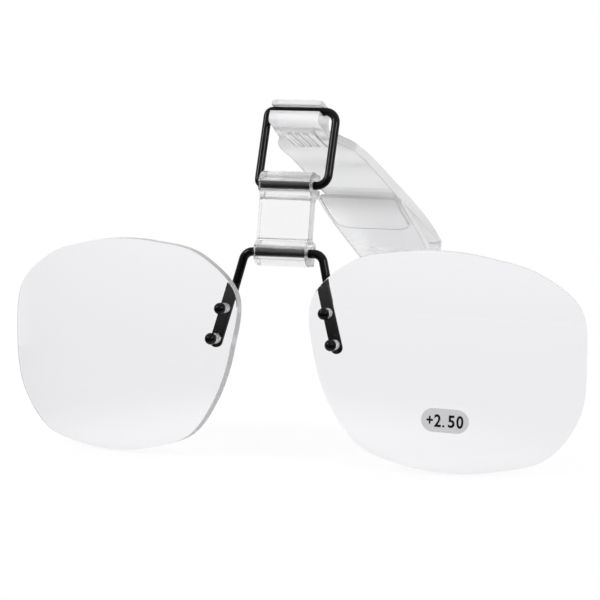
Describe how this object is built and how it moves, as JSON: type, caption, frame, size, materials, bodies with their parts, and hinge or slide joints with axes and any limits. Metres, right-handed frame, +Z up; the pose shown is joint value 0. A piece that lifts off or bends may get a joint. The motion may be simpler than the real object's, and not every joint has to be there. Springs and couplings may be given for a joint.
{
  "type": "clip-on flip-up loupe",
  "caption": "Rimless magnifying lens pair on a wire bridge, hung by a clear link and a wire bail from a clear spring clip that grips the peak of a cap or visor.",
  "frame": {"origin": "middle of the inner wall of the clip's fold, where the edge of a cap's peak stops", "axes": "+X across the lens pair, +Y from the clip's barrel towards its fold, +Z up, with the lenses hanging upright"},
  "size_m": [0.1198, 0.0811, 0.0691],
  "materials": {
    "clear_moulding": "clear polycarbonate, moulded, slightly satin",
    "black_wire": "black coated steel, satin gloss",
    "lens_plastic": "optical polish, clear",
    "sleeve_plastic": "translucent natural nylon",
    "label_film": "pale printed film"
  },
  "bodies": {
    "clip": {"visor_clip": "clear_moulding"},
    "bail": {"bail": "black_wire"},
    "link": {"link_plate": "clear_moulding"},
    "lens_frame": {"bridge_wire": "black_wire", "lens_plate_left": "black_wire", "lens_plate_right": "black_wire", "lens_left": "lens_plastic", "lens_right": "lens_plastic", "ball_pin_left_upper": "black_wire", "ball_pin_left_lower": "black_wire", "ball_pin_right_upper": "black_wire", "ball_pin_right_lower": "black_wire", "lens_sleeve_left_upper": "sleeve_plastic", "lens_sleeve_left_lower": "sleeve_plastic", "lens_sleeve_right_upper": "sleeve_plastic", "lens_sleeve_right_lower": "sleeve_plastic", "power_label": "label_film"}
  },
  "joints": [
    {"name": "clip_hinge", "type": "hinge", "parent": "clip", "child": "bail", "pos_m": [0, -0.06196, 0.03259], "axis": [-1, 0, 0], "range_deg": [-30, 200]},
    {"name": "link_hinge", "type": "hinge", "parent": "bail", "child": "link", "pos_m": [0, -0.06721, 0.01864], "axis": [-1, 0, 0], "range_deg": [-30, 60]},
    {"name": "lens_hinge", "type": "hinge", "parent": "link", "child": "lens_frame", "pos_m": [0, -0.06975, 0.00579], "axis": [-1, 0, 0], "range_deg": [-20, 60]}
  ]
}
